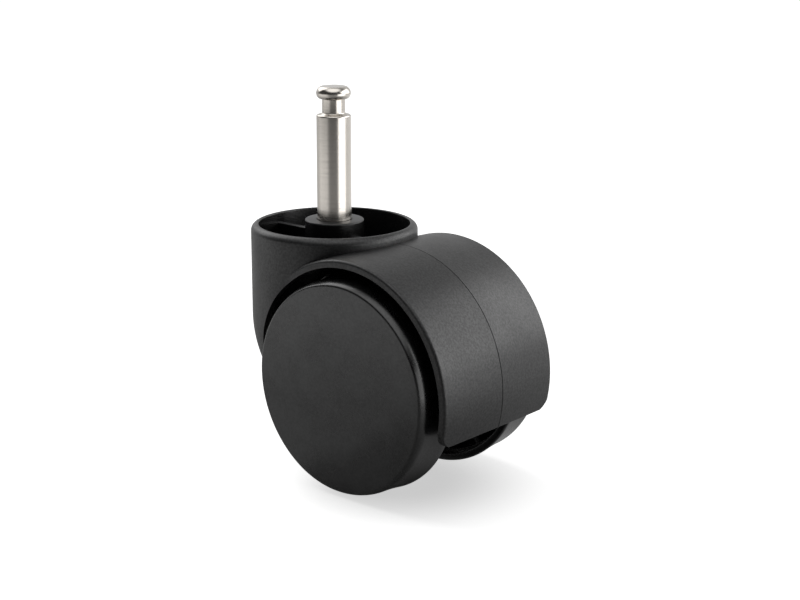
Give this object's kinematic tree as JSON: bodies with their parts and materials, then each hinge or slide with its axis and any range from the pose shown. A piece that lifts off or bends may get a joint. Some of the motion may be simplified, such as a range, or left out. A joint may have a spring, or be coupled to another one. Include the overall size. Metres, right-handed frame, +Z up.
{
  "type": "swivel stem castor",
  "caption": "Hooded twin-wheel furniture castor with a grooved plug-in steel stem, moulded cup and hood, and wheels that turn freely on a common axle.",
  "frame": {"origin": "on the swivel axis, in the top face of the stem boss, where the furniture's socket seats", "axes": "+Z up along the stem, +X from the swivel axis towards the wheel axle, Y along the wheel axle"},
  "size_m": [0.0693, 0.0434, 0.0882],
  "materials": {
    "textured_nylon": "fine spark-eroded grain, matt",
    "smooth_nylon": "smooth, satin",
    "turned_steel": "bright turned",
    "spring_steel": "dark phosphated",
    "drawn_steel": "bright drawn"
  },
  "bodies": {
    "stem_body": {"stem": "turned_steel", "stem_snap_ring": "spring_steel"},
    "swivel_body": {"swivel_housing": "textured_nylon", "wheel_axle": "drawn_steel"},
    "left_wheel_body": {"wheel_left": "smooth_nylon"},
    "right_wheel_body": {"wheel_right": "smooth_nylon"}
  },
  "joints": [
    {"name": "swivel", "type": "hinge", "parent": "stem_body", "child": "swivel_body", "pos_m": [0, 0, 0], "axis": [0, 0, 1], "continuous": true},
    {"name": "left_wheel_roll", "type": "hinge", "parent": "swivel_body", "child": "left_wheel_body", "pos_m": [0.0206, 0, -0.0324], "axis": [0, 1, 0], "continuous": true},
    {"name": "right_wheel_roll", "type": "hinge", "parent": "swivel_body", "child": "right_wheel_body", "pos_m": [0.0206, 0, -0.0324], "axis": [0, 1, 0], "continuous": true}
  ]
}
